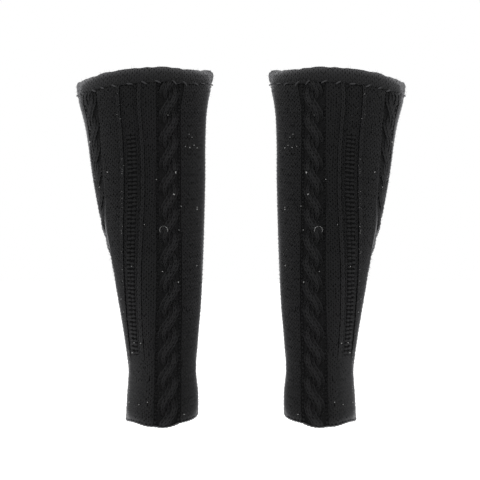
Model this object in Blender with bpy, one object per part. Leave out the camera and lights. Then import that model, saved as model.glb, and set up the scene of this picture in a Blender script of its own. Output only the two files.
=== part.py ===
"""Pair of cable-knit leg warmers, hollow and open at both ends, filled out as two lower legs fill them.

X runs to the viewer's right as seen from the front, Y to the back and Z up. The origin is the centre
of the left leg warmer's top opening. Tables and sizes are in millimetres, meshes in metres, and
angles run round the leg from the front towards the side where the two leg warmers face each other.
"""

import math
from collections import namedtuple

import bmesh
import bpy
from mathutils import Matrix, Vector

MM = 0.001

# Inside of the knitted tube, by height: where its centre lies and half its width and depth.
SECTION_COLUMNS = ("height", "centre_x", "centre_y", "half_width", "half_depth")
SECTIONS = (
    (10, 1.2, 0.0, 62.6, 58.5),
    (-20, -0.5, 0.7, 60.2, 57.5),
    (-60, 1.8, 2.0, 55.7, 54.5),
    (-100, 4.5, 1.5, 52.8, 53.5),
    (-140, 8.1, -2.0, 48.4, 50.5),
    (-180, 12.6, -5.0, 42.8, 46.5),
    (-220, 15.8, -9.0, 38.0, 42.5),
    (-260, 17.8, -13.5, 32.8, 38.5),
    (-290, 18.8, -16.0, 30.0, 36.5),
    (-315, 19.3, -18.0, 31.6, 38.5),
    (-350, 18.2, -20.5, 32.0, 39.5),
)

# The angles of three of the four cables and of the front ladder, in degrees. The fourth cable runs
# down the back, midway between the outer and the inner one.
CABLE_COLUMNS = ("height", "outer", "front_ladder", "front", "inner")
CABLES = (
    (0, -49, -8, 25, 113),
    (-32, -53, -10, 24, 113),
    (-92, -62, -11.5, 22, 114),
    (-125, -69, -15.5, 20, 115.5),
    (-155, -87, -22, 18, 117),
    (-190, -99, -31, 15.5, 119),
    (-250, -108, -41.5, 11, 121),
    (-310, -111, -45, 8, 122),
    (-350, -111, -46.5, 7, 122),
)
CABLE_COUNT = 4

# The outer cable lies flatter down the side, where the cloth is stretched over the calf.
OUTER_RELIEF_COLUMNS = ("height", "share_of_relief")
OUTER_RELIEF = ((0, 1.0), (-60, 0.8), (-110, 0.5), (-150, 0.4), (-350, 0.4))

# Each hem is a plane tilted to the side and to the front. The top one sags a little between the
# gathers, and the lower one dips under each cable and hangs lower towards the other leg.
TOP_HEM_SIDE_RISE = 5.8
TOP_HEM_FRONT_RISE = 1.8
SAG_COLUMNS = ("angle", "half_width", "drop")
TOP_HEM_SAGS = ((-58, 34, 1.8), (48, 36, 2.8), (150, 40, 1.5))
BOTTOM_HEM_HEIGHT = -334.7
BOTTOM_HEM_SIDE_RISE = 2.4
BOTTOM_HEM_FRONT_RISE = -4.7
BOTTOM_HEM_SAGS = ((72, 42, 1.2), (-150, 60, 1.2))
BOTTOM_HEM_LIFTS = ((-46, 36, 2.4),)
BOTTOM_HEM_CABLE_DIP = 1.9
BOTTOM_HEM_ROUNDING = 1.2

# The folded welt round the top: two layers of knit, proud of the tube below it.
WELT_HEIGHT = 13.2
WELT_FRONT_EXTRA = 2.2
WELT_GAP = 0.3
WELT_STEPS_ROUND = 64

# The welt's cut, as distances out from the inside of the wall and shares of its height.
WELT_COLUMNS = ("place", "out", "height_share")
WELT_CUT = (
    ("inner foot", 0.0, 0.0),
    ("inner crown", 0.4, 0.86),
    ("crown inside", 1.6, 0.98),
    ("crown outside", 4.2, 1.0),
    ("outer crown", 5.9, 0.90),
    ("outer face", 6.5, 0.55),
    ("outer belly", 6.4, 0.2),
    ("outer foot", 5.2, 0.0),
)

# Soft upright creases where the fold of the welt is gathered.
CREASE_COLUMNS = ("angle", "half_width", "depth")
WELT_CREASES = (
    (-67, 7, 0.9),
    (-41, 6, 1.1),
    (-24, 6, 0.8),
    (0, 5, 0.7),
    (11, 5, 1.0),
    (27, 6, 0.7),
    (38, 5, 1.1),
    (60, 6, 1.2),
    (84, 7, 0.8),
    (117, 6, 1.1),
    (143, 7, 0.8),
    (171, 5, 1.0),
    (203, 7, 1.2),
    (236, 6, 0.9),
    (262, 6, 1.1),
)
CREASE_CROWN_SHARE = 0.6

# Wall thickness over each part of the pattern between two cables.
GROOVE_WALL = 2.3
FIELD_WALL = 3.2
RIDGE_WALL = 4.1
LADDER_WALL = 2.5

# The pattern's columns beside a cable, measured from its middle, and beside the ladder of purl
# stitches that runs midway between two cables, measured from the ladder's middle.
CABLE_HALF_WIDTH = 11.2
BESIDE_COLUMNS = ("offset", "wall")
BESIDE_CABLE = ((12.6, GROOVE_WALL), (14.4, FIELD_WALL))
BESIDE_LADDER = ((11.2, FIELD_WALL), (9.7, RIDGE_WALL), (8.1, LADDER_WALL), (4.2, LADDER_WALL))
NARROWEST_HALF_PANEL = 32.0

# Every other panel has a ladder, and the rest are plain.
PANELS_WITH_LADDER = (0, 2)

# A cable is a rope of two strands that change places once in every crossing.
CABLE_STEPS = 8
CROSSING = 22.9
LEVEL_OF_A_CROSSING = 172.8
STRAND_WALL = 4.6
STRAND_LIFT = 1.4
STRAND_SWING = 5.5
STRAND_HALF_WIDTH = 6.3
STRAND_ROUNDING = 2.9
CABLE_SHARE_UNDER_WELT = 0.3

# Rings of points down the tube: the panels take every fourth of the cables' rings.
PANEL_RINGS = 14
RINGS_PER_PANEL_RING = 4
INNER_RINGS = 10
HEM_WALL_SHARE = 0.65
WELD = 0.00001

# The second leg warmer is the mirror image of the first, across this plane.
MIRROR_PLANE_X = 96.4

YARN_COLOUR = (0.012, 0.012, 0.0125, 1.0)
WELT_COLOUR = (0.014, 0.014, 0.0145, 1.0)

# One line of points down the wall, so far beside the middle of a cable, a ladder or a plain field.
Column = namedtuple("Column", "panel anchor offset wall")
Ring = namedtuple("Ring", "side share in_panels")


def slope(rows, place, column):
    before, after = rows[max(place - 1, 0)], rows[min(place + 1, len(rows) - 1)]
    return (after[column] - before[column]) / (after[0] - before[0])


def smooth_row(table, height):
    """The table's other columns at a height, on a smooth curve through its rows."""
    rows = sorted(table)
    below = sum(height > row[0] for row in rows) - 1
    low = min(max(below, 0), len(rows) - 2)
    span = rows[low + 1][0] - rows[low][0]
    t = (height - rows[low][0]) / span
    return [
        rows[low][column] * (2 * t**3 - 3 * t**2 + 1)
        + slope(rows, low, column) * span * (t**3 - 2 * t**2 + t)
        + rows[low + 1][column] * (3 * t**2 - 2 * t**3)
        + slope(rows, low + 1, column) * span * (t**3 - t**2)
        for column in range(1, len(rows[0]))
    ]


def soft_dip(table, angle):
    """The depth at this angle of the deepest of the table's dips, each a cosine bell."""
    degrees = math.degrees(angle)
    deepest = 0.0
    for place, half_width, depth in table:
        away = abs((degrees - place + 180) % 360 - 180) / half_width
        if away < 1:
            deepest = max(deepest, depth * math.cos(away * math.pi / 2) ** 2)
    return deepest


def top_hem(angle):
    rise = TOP_HEM_SIDE_RISE * math.sin(angle) + TOP_HEM_FRONT_RISE * math.cos(angle)
    return rise - soft_dip(TOP_HEM_SAGS, angle)


def bottom_hem(angle):
    rise = BOTTOM_HEM_SIDE_RISE * math.sin(angle) + BOTTOM_HEM_FRONT_RISE * math.cos(angle)
    rise += soft_dip(BOTTOM_HEM_LIFTS, angle) - soft_dip(BOTTOM_HEM_SAGS, angle)
    return BOTTOM_HEM_HEIGHT + rise


def welt_height(angle):
    return WELT_HEIGHT + WELT_FRONT_EXTRA * math.cos(angle)


def wall_point(angle, height, out):
    """A point at this angle and height, so far out from the inside of the wall."""
    centre_x, centre_y, half_width, half_depth = smooth_row(SECTIONS, height)
    across, ahead = math.sin(angle), -math.cos(angle)
    outward = Vector((across / half_width, ahead / half_depth, 0)).normalized()
    inside = Vector((centre_x + half_width * across, centre_y + half_depth * ahead, height))
    return (inside + outward * out) * MM


def reach(angle, height):
    """Millimetres along the section for each radian at this angle."""
    _, _, half_width, half_depth = smooth_row(SECTIONS, height)
    return math.hypot(half_width * math.cos(angle), half_depth * math.sin(angle))


def cable_angle(index, height):
    """The angle of a cable, in radians. Index 4 is the first cable again, one turn on."""
    outer, _, front, inner = (math.radians(angle) for angle in smooth_row(CABLES, height))
    turn = 2 * math.pi
    around = (outer, front, inner, (inner + outer + turn) / 2)
    return around[index % CABLE_COUNT] + turn * (index // CABLE_COUNT)


def cable_wall(index, offset, level, height):
    """Wall thickness across a cable: the higher of its two strands, never under the groove beside it."""
    turn = math.pi * (LEVEL_OF_A_CROSSING - level) / CROSSING
    share = smooth_row(OUTER_RELIEF, height)[0] if index % CABLE_COUNT == 0 else 1.0
    walls = [GROOVE_WALL]
    for phase in (turn, turn + math.pi):
        aside = (offset - STRAND_SWING * math.sin(phase)) / STRAND_HALF_WIDTH
        wall = STRAND_WALL + STRAND_LIFT * math.cos(phase) - STRAND_ROUNDING * aside**2
        walls.append(GROOVE_WALL + (wall - GROOVE_WALL) * share)
    return max(walls)


def panel_middle(panel, height):
    """The angle where a panel's ladder runs, or the middle of a plain panel."""
    if panel % CABLE_COUNT == 0:
        return math.radians(smooth_row(CABLES, height)[1])
    return (cable_angle(panel, height) + cable_angle(panel + 1, height)) / 2


def column_angle(column, height):
    """The column's angle at a height. A panel's pattern narrows where the panel itself is narrow."""
    if column.anchor in ("field", "next field"):
        side = -1 if column.anchor == "field" else 1
        cable = "cable" if side < 0 else "next cable"
        edges = (cable, -side * BESIDE_CABLE[-1][0]), ("ladder", side * BESIDE_LADDER[0][0])
        angles = [column_angle(Column(column.panel, *edge, None), height) for edge in edges]
        return sum(angles) / len(angles)
    start, end = cable_angle(column.panel, height), cable_angle(column.panel + 1, height)
    middle = panel_middle(column.panel, height)
    half_panel = (end - start) / 2 * reach((start + end) / 2, height)
    anchor = {"cable": start, "ladder": middle, "next cable": end}[column.anchor]
    narrowed = column.offset * min(1.0, half_panel / NARROWEST_HALF_PANEL)
    return anchor + narrowed / reach(anchor, height)


def cable_columns(index):
    """The columns across a cable, which end the panel before it and start its own."""
    offsets = [CABLE_HALF_WIDTH * (2 * step / CABLE_STEPS - 1) for step in range(CABLE_STEPS + 1)]
    before = [Column(index - 1, "next cable", offset, None) for offset in offsets if offset < 0]
    return before + [Column(index, "cable", offset, None) for offset in offsets if offset >= 0]


def plain_columns(panel):
    """The columns from one cable's edge to the next one's: groove, field and ridge, then the ladder."""
    walls = [wall if panel in PANELS_WITH_LADDER else FIELD_WALL for _, wall in BESIDE_LADDER]
    ladder = [(offset, wall) for (offset, _), wall in zip(BESIDE_LADDER, walls)]
    first = [Column(panel, "cable", offset, wall) for offset, wall in BESIDE_CABLE]
    first.append(Column(panel, "field", 0.0, FIELD_WALL))
    first += [Column(panel, "ladder", -offset, wall) for offset, wall in ladder]
    second = [Column(panel, "ladder", offset, wall) for offset, wall in reversed(ladder)]
    second.append(Column(panel, "next field", 0.0, FIELD_WALL))
    second += [Column(panel, "next cable", -offset, wall) for offset, wall in reversed(BESIDE_CABLE)]
    return first + second


def tube_rings():
    """The rings round the wall, down its outer side, under the hem and up the inner side."""
    count = PANEL_RINGS * RINGS_PER_PANEL_RING
    outer = [Ring("outer", i / count, i % RINGS_PER_PANEL_RING == 0) for i in range(count + 1)]
    inner = [Ring("inner", 1 - i / INNER_RINGS, True) for i in range(INNER_RINGS + 1)]
    return outer + [Ring("hem", 1.0, True)] + inner


def tube_point(column, ring):
    """The point of one column on one ring. The tube starts just under the welt.

    A point's level counts millimetres down the front from the top hem. At other angles it keeps
    its share of the length there, so the knitting's rows run parallel to both hems.
    """
    length = top_hem(0) - bottom_hem(0)
    start = welt_height(0) + WELT_GAP
    level = start + ring.share * (length - start)
    angle = column_angle(column, top_hem(0) - level)
    dip = 0.0
    if column.wall is None:
        dip = BOTTOM_HEM_CABLE_DIP * (1 - (column.offset / BESIDE_CABLE[0][0]) ** 2)
    height = top_hem(angle) + (bottom_hem(angle) - dip - top_hem(angle)) * level / length
    angle = column_angle(column, height)
    under_welt = top_hem(angle) - welt_height(angle) - WELT_GAP
    height = under_welt if ring.share == 0.0 else min(height, under_welt)
    if ring.side == "inner":
        return wall_point(angle, height, 0.0)
    wall = column.wall
    if wall is None:
        index = column.panel + (column.anchor == "next cable")
        wall = cable_wall(index, column.offset, level, height)
    if ring.side == "hem":
        return wall_point(angle, height, wall * HEM_WALL_SHARE)
    if ring.share == 1.0:
        height += BOTTOM_HEM_ROUNDING
    if ring.share == 0.0:
        wall = FIELD_WALL + (wall - FIELD_WALL) * CABLE_SHARE_UNDER_WELT
    return wall_point(angle, height, wall)


def closed_grid(columns_round, rings_round):
    """A grid rolled up both ways: it joins its own start round the leg and round the cut of the wall."""
    grid = bmesh.new()
    bmesh.ops.create_grid(grid, x_segments=columns_round, y_segments=rings_round, size=0.5)
    places = {}
    for vertex in grid.verts:
        column = round((vertex.co.x + 0.5) * columns_round) % columns_round
        ring = round((vertex.co.y + 0.5) * rings_round) % rings_round
        places[vertex] = (column, ring)
    return grid, places


def spare_edges(grid, places, columns, rings):
    """The edges of the full grid that the plain parts of the wall do without."""
    spare = []
    for edge in grid.edges:
        (column_a, ring_a), (column_b, ring_b) = (places[vertex] for vertex in edge.verts)
        if ring_a == ring_b:
            across_cable = columns[column_a].wall is None and columns[column_b].wall is None
            if not across_cable and not rings[ring_a].in_panels:
                spare.append(edge)
        elif rings[ring_a].side == rings[ring_b].side == "inner" and column_a % 2:
            spare.append(edge)
    return spare


def knit_tube(name):
    columns = []
    for panel in range(CABLE_COUNT):
        columns += cable_columns(panel) + plain_columns(panel)
    rings = tube_rings()
    grid, places = closed_grid(len(columns), len(rings))
    for vertex, (column, ring) in places.items():
        vertex.co = tube_point(columns[column], rings[ring])
    spare = spare_edges(grid, places, columns, rings)
    bmesh.ops.dissolve_edges(grid, edges=spare, use_verts=False)
    bmesh.ops.remove_doubles(grid, verts=grid.verts[:], dist=WELD)
    between_two_edges = [vertex for vertex in grid.verts if len(vertex.link_edges) == 2]
    bmesh.ops.dissolve_verts(grid, verts=between_two_edges)
    return finished(name, grid, "Black knit", YARN_COLOUR)


def welt_point(angle, place, out, share):
    crease = soft_dip(WELT_CREASES, angle)
    height = top_hem(angle) - welt_height(angle) * (1 - share)
    if place.startswith("outer"):
        out -= crease
    if "crown" in place:
        height -= crease * CREASE_CROWN_SHARE
    return wall_point(angle, height, out)


def folded_welt(name):
    grid, places = closed_grid(WELT_STEPS_ROUND, len(WELT_CUT))
    for vertex, (step, ring) in places.items():
        angle = 2 * math.pi * step / WELT_STEPS_ROUND
        vertex.co = welt_point(angle, *WELT_CUT[ring])
    bmesh.ops.remove_doubles(grid, verts=grid.verts[:], dist=WELD)
    return finished(name, grid, "Black welt", WELT_COLOUR)


def finished(name, grid, material_name, colour):
    """The grid as a smooth-shaded object, its faces pointing out of the cloth."""
    bmesh.ops.triangulate(grid, faces=grid.faces[:])
    bmesh.ops.recalc_face_normals(grid, faces=grid.faces[:])
    mesh = bpy.data.meshes.new(name)
    grid.to_mesh(mesh)
    grid.free()
    mesh.shade_smooth()
    mesh.materials.append(knit_material(material_name, colour))
    return bpy.data.objects.new(name, mesh)


def knit_material(name, colour):
    material = bpy.data.materials.new(name)
    material.use_nodes = True
    shader = material.node_tree.nodes["Principled BSDF"]
    shader.inputs["Base Color"].default_value = colour
    shader.inputs["Roughness"].default_value = 0.95
    shader.inputs["Metallic"].default_value = 0.0
    return material


def mirrored(source, name):
    """The same piece of the other leg warmer."""
    mesh = source.data.copy()
    mesh.name = name
    across = Matrix.Translation((2 * MIRROR_PLANE_X * MM, 0, 0)) @ Matrix.Scale(-1, 4, (1, 0, 0))
    mesh.transform(across)
    mesh.flip_normals()
    return bpy.data.objects.new(name, mesh)


def main():
    for existing in list(bpy.data.objects):
        bpy.data.objects.remove(existing, do_unlink=True)
    pair = bpy.data.collections.new("Cable-knit leg warmers")
    bpy.context.scene.collection.children.link(pair)
    for piece in (knit_tube("left_tube"), folded_welt("left_welt")):
        pair.objects.link(piece)
        pair.objects.link(mirrored(piece, piece.name.replace("left", "right")))


main()
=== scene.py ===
# %% [markdown]
# # A pair of cable-knit leg warmers
#
# Two black leg warmers stand filled out, with no legs in them. Each is a tube knitted in the round,
# with rope cables, ladders of purl bars between thin ridges, and a plain welt on top, folded over
# and overcast down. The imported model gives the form, and here it is dressed with yarn.

import math
from collections import namedtuple

import bmesh
import bpy
import numpy as np
from mathutils import Matrix, Vector


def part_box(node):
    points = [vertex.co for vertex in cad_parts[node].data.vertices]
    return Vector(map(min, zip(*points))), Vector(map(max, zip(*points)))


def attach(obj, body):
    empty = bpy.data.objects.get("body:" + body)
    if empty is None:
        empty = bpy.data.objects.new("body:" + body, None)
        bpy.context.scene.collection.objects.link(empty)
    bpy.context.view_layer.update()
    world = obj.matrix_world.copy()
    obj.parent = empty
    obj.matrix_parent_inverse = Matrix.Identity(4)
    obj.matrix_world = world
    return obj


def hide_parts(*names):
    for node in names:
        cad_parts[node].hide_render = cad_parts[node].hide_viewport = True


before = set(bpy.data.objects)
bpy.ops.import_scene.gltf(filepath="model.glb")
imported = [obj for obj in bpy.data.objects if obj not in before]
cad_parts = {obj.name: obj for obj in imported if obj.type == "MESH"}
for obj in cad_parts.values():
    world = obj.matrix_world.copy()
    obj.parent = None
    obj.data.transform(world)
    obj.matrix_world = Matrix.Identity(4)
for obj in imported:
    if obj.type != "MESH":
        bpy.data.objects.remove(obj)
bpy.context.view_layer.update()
for node in sorted(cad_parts):
    low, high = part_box(node)
    print(node, "is", [round(1000 * (b - a)) for a, b in zip(low, high)], "mm in X, Y and Z")

# %% [markdown]
# ## The camera, the studio and its light
#
# Black knitwear on white is lit from all round, so that only the yarn's own relief shades it. The
# camera stands 1.2 m in front of the pair, and its lens takes in 48 cm there. A large pale floor
# lies below, and a white world and two broad lights in front do the rest.

# %% Camera, floor and lights
MM = 0.001
TURN = 2 * math.pi
MIRROR_X = 96.4  # the plane between the two leg warmers
CAMERA_X = MIRROR_X - 1.0
CAMERA_DISTANCE = 1200.0
CAMERA_HEIGHT = -162.0
VIEW_WIDTH = 480.0
FLOOR_HEIGHT = -412.0

scene = bpy.context.scene
scene.view_settings.view_transform = "Standard"


def added(name, data):
    piece = bpy.data.objects.new(name, data)
    scene.collection.objects.link(piece)
    return piece


def as_mesh(shape, name):
    """A bmesh made a mesh, and freed."""
    mesh = bpy.data.meshes.new(name)
    shape.to_mesh(mesh)
    shape.free()
    return mesh


camera_data = bpy.data.cameras.new("Camera")
camera_data.sensor_width = 36.0
camera_data.lens = camera_data.sensor_width * CAMERA_DISTANCE / VIEW_WIDTH
camera = added("Camera", camera_data)
camera.location = Vector((CAMERA_X, -CAMERA_DISTANCE, CAMERA_HEIGHT)) * MM
camera.rotation_euler = (math.radians(90), 0, 0)
scene.camera = camera


def set_values(node, values):
    for name, value in values.items():
        node.inputs[name].default_value = value


world = bpy.data.worlds.new("White studio")
world.use_nodes = True
set_values(world.node_tree.nodes["Background"], {"Color": (1, 1, 1, 1), "Strength": 1.0})
scene.world = world


def soft_light(name, place, size, power):
    lamp = bpy.data.lights.new(name, "AREA")
    lamp.size = size
    lamp.energy = power
    piece = added(name, lamp)
    piece.location = place
    aim = Vector((MIRROR_X, 0, CAMERA_HEIGHT)) * MM - Vector(place)
    piece.rotation_euler = aim.to_track_quat("-Z", "Y").to_euler()


soft_light("Key light", (-1.0, -1.5, 1.1), 0.8, 14)
soft_light("Fill light", (1.3, -1.6, 0.6), 1.0, 8)

floor_grid = bmesh.new()
bmesh.ops.create_grid(floor_grid, x_segments=1, y_segments=1, size=6.0)
bmesh.ops.translate(floor_grid, verts=floor_grid.verts[:], vec=(0, 0, FLOOR_HEIGHT * MM))
floor = added("Floor", as_mesh(floor_grid, "Floor"))
white = bpy.data.materials.new("White floor")
white.use_nodes = True
set_values(white.node_tree.nodes["Principled BSDF"], {
    "Base Color": (0.9, 0.9, 0.9, 1), "Roughness": 0.9, "Specular IOR Level": 0.0,
    "Emission Color": (1, 1, 1, 1), "Emission Strength": 0.35})
floor.data.materials.append(white)
print("the camera's lens is", round(camera_data.lens), "mm")

# %% [markdown]
# ## The shape of a filled leg warmer
#
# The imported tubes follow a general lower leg: a wide calf, a shin and a narrow ankle that lies
# further back. Their inside is an ellipse at each height, so the solid's own short table says all
# of it, and a smooth curve through its rows gives the heights between. Sizes are in millimetres
# and angles in degrees, from the front towards the other leg.

# %% The leg's table and a smooth curve through it
SECTIONS = (  # height, centre in X, centre in Y, half the width, half the depth, inside the wall
    (10, 1.2, 0, 62.6, 58.5), (-20, -0.5, 0.7, 60.2, 57.5), (-60, 1.8, 2, 55.7, 54.5),
    (-100, 4.5, 1.5, 52.8, 53.5), (-140, 8.1, -2, 48.4, 50.5), (-180, 12.6, -5, 42.8, 46.5),
    (-220, 15.8, -9, 38, 42.5), (-260, 17.8, -13.5, 32.8, 38.5), (-290, 18.8, -16, 30, 36.5),
    (-315, 19.3, -18, 31.6, 38.5), (-350, 18.2, -20.5, 32, 39.5),
)


def smooth(table, place):
    """The table's other columns at each place, on a smooth curve through its rows."""
    rows = np.array(sorted(table), float)
    place = np.asarray(place, float)
    count = np.arange(len(rows))
    before, after = rows[np.maximum(count - 1, 0)], rows[np.minimum(count + 1, len(rows) - 1)]
    slopes = (after - before)[:, 1:] / (after - before)[:, :1]
    low = np.clip(np.searchsorted(rows[:, 0], place) - 1, 0, len(rows) - 2)
    span = (rows[low + 1, 0] - rows[low, 0])[..., None]
    t = ((place - rows[low, 0])[..., None]) / span
    found = (
        rows[low, 1:] * (2 * t**3 - 3 * t**2 + 1)
        + slopes[low] * span * (t**3 - 2 * t**2 + t)
        + rows[low + 1, 1:] * (3 * t**2 - 2 * t**3)
        + slopes[low + 1] * span * (t**3 - t**2)
    )
    return np.moveaxis(found, -1, 0)


def reach(angle, height):
    """Millimetres along the section for each radian at this angle."""
    _, _, half_width, half_depth = smooth(SECTIONS, height)
    return np.hypot(half_width * np.cos(angle), half_depth * np.sin(angle))


calf_width, ankle_width = 2 * smooth(SECTIONS, [0.0, -300.0])[2]
print("inside, the calf is", round(calf_width), "mm wide and the ankle", round(ankle_width), "mm")

# %% [markdown]
# ## Hems and soft folds
#
# Nothing knitted hangs dead level. The top hem rises towards the inside of the leg and sags between
# its gathers, the lower hem tilts forward, and the cloth slouches above the ankle in short troughs.
# Each is a dip with soft ends from a table: a cloth simulation would find folds of its own, and
# these have to lie where the real ones do.

# %% Hems and folds
TOP_HEM_RISE = (5.8, 1.8)  # towards the other leg and towards the front
BOTTOM_HEM_RISE = (2.4, -4.7)
BOTTOM_HEM_HEIGHT = -334.7
TOP_HEM_SAGS = ((-58, 34, 1.8), (48, 36, 2.8), (150, 40, 1.5))  # angle, half width, drop
BOTTOM_HEM_SAGS = ((72, 42, 1.2), (-150, 60, 1.2))
BOTTOM_HEM_LIFTS = ((-46, 36, 2.4),)
WELT_HEIGHT = 13.2
WELT_FRONT_EXTRA = 2.2
WELT_GAP = 0.3
HEM_DIP_UNDER_CABLE = 1.5

SWELL_FRONT = 0.9
SWELL_SIDE = 2.0
SWELL_START = 13.5
SWELL_LEVEL = 17.0
SWELL_LENGTH = 16.0

Fold = namedtuple("Fold", "angle level lean half_width half_length depth")
FOLDS = [Fold(*row) for row in (
    (-30, 287, 48, 2.6, 12, 1.3), (-34, 297, 42, 2.8, 12, 1.2), (-8, 301, -30, 3.5, 11, 0.6),
    (33, 292, -40, 3.5, 12, 0.8), (48, 305, -36, 3, 10, 0.6), (15, 262, 14, 4, 16, -0.5),
    (70, 278, -52, 4, 14, 0.8), (112, 290, 48, 4.5, 15, 1), (150, 281, -50, 4, 15, 0.9),
    (170, 300, 44, 4.5, 13, 1.1), (205, 286, 55, 4, 14, 0.9), (236, 298, -42, 4, 13, 1),
    (-75, 288, 50, 4, 13, 0.6), (-20, 70, 8, 6, 38, 0.6), (52, 96, -6, 6, 44, 0.6),
    (8, 150, 5, 6, 40, 0.4), (80, 180, -9, 6, 40, 0.6), (130, 90, 6, 7, 44, 0.8),
    (168, 130, -7, 7, 50, 0.8), (214, 96, 8, 7, 46, 0.7), (246, 160, -5, 6, 40, 0.6),
    (190, 215, 12, 6, 34, 0.7), (120, 225, -12, 6, 30, 0.6),
)]


def turned(angle, middle):
    """Degrees from the middle to an angle, from -180 to 180."""
    return (np.degrees(angle) - middle + 180) % 360 - 180


def soft_dip(table, angle):
    """The depth here of the deepest of the table's dips, each a cosine bell."""
    deepest = np.zeros(np.shape(angle))
    for middle, half_width, depth in table:
        away = np.minimum(np.abs(turned(angle, middle)) / half_width, 1)
        deepest = np.maximum(deepest, depth * np.cos(away * math.pi / 2) ** 2)
    return deepest


def tilt(rise, angle):
    return rise[0] * np.sin(angle) + rise[1] * np.cos(angle)


def top_hem(angle):
    return tilt(TOP_HEM_RISE, angle) - soft_dip(TOP_HEM_SAGS, angle)


def bottom_hem(angle):
    rise = tilt(BOTTOM_HEM_RISE, angle) + soft_dip(BOTTOM_HEM_LIFTS, angle)
    return BOTTOM_HEM_HEIGHT + rise - soft_dip(BOTTOM_HEM_SAGS, angle)


def welt_height(angle):
    return WELT_HEIGHT + WELT_FRONT_EXTRA * np.cos(angle)


LENGTH = float(top_hem(0.0) - bottom_hem(0.0))
TUBE_START = WELT_HEIGHT + WELT_FRONT_EXTRA + WELT_GAP


def welt_foot(angle):
    return top_hem(angle) - welt_height(angle) - WELT_GAP


def row_height(angle, level, dip=0.0):
    """The height of a row. Its level is in millimetres down the front from the top hem."""
    share = (level - TUBE_START) / (LENGTH - TUBE_START)
    foot = welt_foot(angle)
    return foot + (bottom_hem(angle) - dip - foot) * share


def folded_in(angle, height):
    """How far the folds push the cloth in. Just under the welt it swells out instead."""
    foot = welt_foot(angle)
    share = (foot - height) / (foot - bottom_hem(angle))
    level = TUBE_START + share * (LENGTH - TUBE_START)
    around = reach(angle, height) * math.radians(1)
    swell = SWELL_FRONT + (SWELL_SIDE - SWELL_FRONT) * np.sin(angle) ** 2
    below = np.clip((level - SWELL_START) / 4, 0, 1)
    pushed = -swell * below * np.exp(-(((level - SWELL_LEVEL) / SWELL_LENGTH) ** 2))
    for fold in FOLDS:
        lean = math.radians(fold.lean)
        aside = turned(angle, fold.angle) * around
        down = level - fold.level
        across = (aside * math.cos(lean) + down * math.sin(lean)) / fold.half_width
        along = (down * math.cos(lean) - aside * math.sin(lean)) / fold.half_length
        pushed += fold.depth * np.exp(-(across**2) - along**2)
    return pushed


def wall_point(angle, height, out):
    """Points so far out from the inside of the wall, in metres."""
    centre_x, centre_y, half_width, half_depth = smooth(SECTIONS, height)
    across, ahead = np.sin(angle), -np.cos(angle)
    steep = np.hypot(across / half_width, ahead / half_depth)
    out = out - folded_in(angle, height)
    x = centre_x + half_width * across + out * across / half_width / steep
    y = centre_y + half_depth * ahead + out * ahead / half_depth / steep
    return np.stack(np.broadcast_arrays(x, y, height), -1) * MM


print("a leg warmer is", round(LENGTH), "mm long down the front and has", len(FOLDS), "soft folds")

# %% [markdown]
# ## The pattern round the tube
#
# A knitter reads the tube as columns of stitches, called wales. Four cables divide it into four
# panels. Beside a cable come a sunken purl column and a plain field. Every other panel has a
# ladder: two wales of purl bars in a smooth trough, between two ridges of one wale each. The front
# ladder lies off its panel's middle, and the bars begin under the calf and end above the ankle.
# The fields lose wales towards the ankle and the cables keep their width. They are a little
# narrower here than on the solid, and the front one lies 2 to 3 mm further in.

# %% Where the columns of stitches lie
CABLES = (  # height, and the angles of the outer cable, the front ladder, the front and inner cables
    (0, -49, -8, 27.2, 113), (-32, -53, -10, 26.4, 113), (-92, -62, -11.5, 24.8, 114),
    (-125, -69, -15.5, 23, 115.5), (-155, -87, -22, 21.3, 117), (-190, -99, -31, 19.2, 119),
    (-250, -108, -41.5, 15.5, 121), (-310, -111, -45, 13, 122), (-350, -111, -46.5, 12, 122),
)
OUTER_RELIEF = ((0, 1.0), (-60, 0.8), (-110, 0.5), (-150, 0.4), (-350, 0.4))  # height, share
CABLE_COUNT = 4
PANELS_WITH_LADDER = (0, 2)
NARROWEST_HALF_PANEL = 32.0
GROOVE_WALL = 2.1
FIELD_WALL = 3.2
RIDGE_WALL = 4.4
LADDER_WALL = 2.5
GROOVE = 10.8
FIELD_START = 12.0
GROOVE_WIDTH = 2.4
RIDGE = 9.7
RIDGE_WIDTH = 3.2
TROUGH = 6.2
TROUGH_WIDTH = 3.8
BARS = 2.15
BAR_WIDTH = 4.3
STITCH_WIDTH = 4.35
ROW = 4.0
ROWS = round((LENGTH - TUBE_START) / ROW)


def cable_angle(index, height):
    """The angle of a cable. Index 4 is the first cable again, one turn on."""
    outer, _, front, inner = np.radians(smooth(CABLES, height))
    around = (outer, front, inner, (inner + outer) / 2 + math.pi)
    return around[index % CABLE_COUNT] + TURN * (index // CABLE_COUNT)


def column_angle(panel, anchor, offset, height):
    """The angle so far beside a cable or a ladder, closer where the panel is narrow."""
    start, end = cable_angle(panel, height), cable_angle(panel + 1, height)
    middle = (start + end) / 2
    half_panel = (end - start) / 2 * reach(middle, height)
    if panel % CABLE_COUNT == 0:
        middle = np.radians(smooth(CABLES, height)[1])
    base = {"cable": start, "ladder": middle, "next cable": end}[anchor]
    return base + offset * np.minimum(1, half_panel / NARROWEST_HALF_PANEL) / reach(base, height)


def field_edges(panel, anchor, height):
    """The angles of a plain field's two edges, the one at the ladder first."""
    side = 1 if anchor == "cable" else -1
    ladder_edge = RIDGE + RIDGE_WIDTH / 2 if panel in PANELS_WITH_LADDER else 0.0
    return (column_angle(panel, "ladder", -side * ladder_edge, height),
            column_angle(panel, anchor, side * FIELD_START, height))


def field_width(panel, anchor, height):
    first, last = field_edges(panel, anchor, height)
    return np.abs(last - first) * reach((first + last) / 2, height)


for panel in range(CABLE_COUNT):
    widths = [round(float(field_width(panel, "cable", h)), 1) for h in (-20.0, -170.0, -320.0)]
    print("panel", panel, "has plain fields", widths, "mm wide at the calf, the shin and the ankle")

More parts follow.
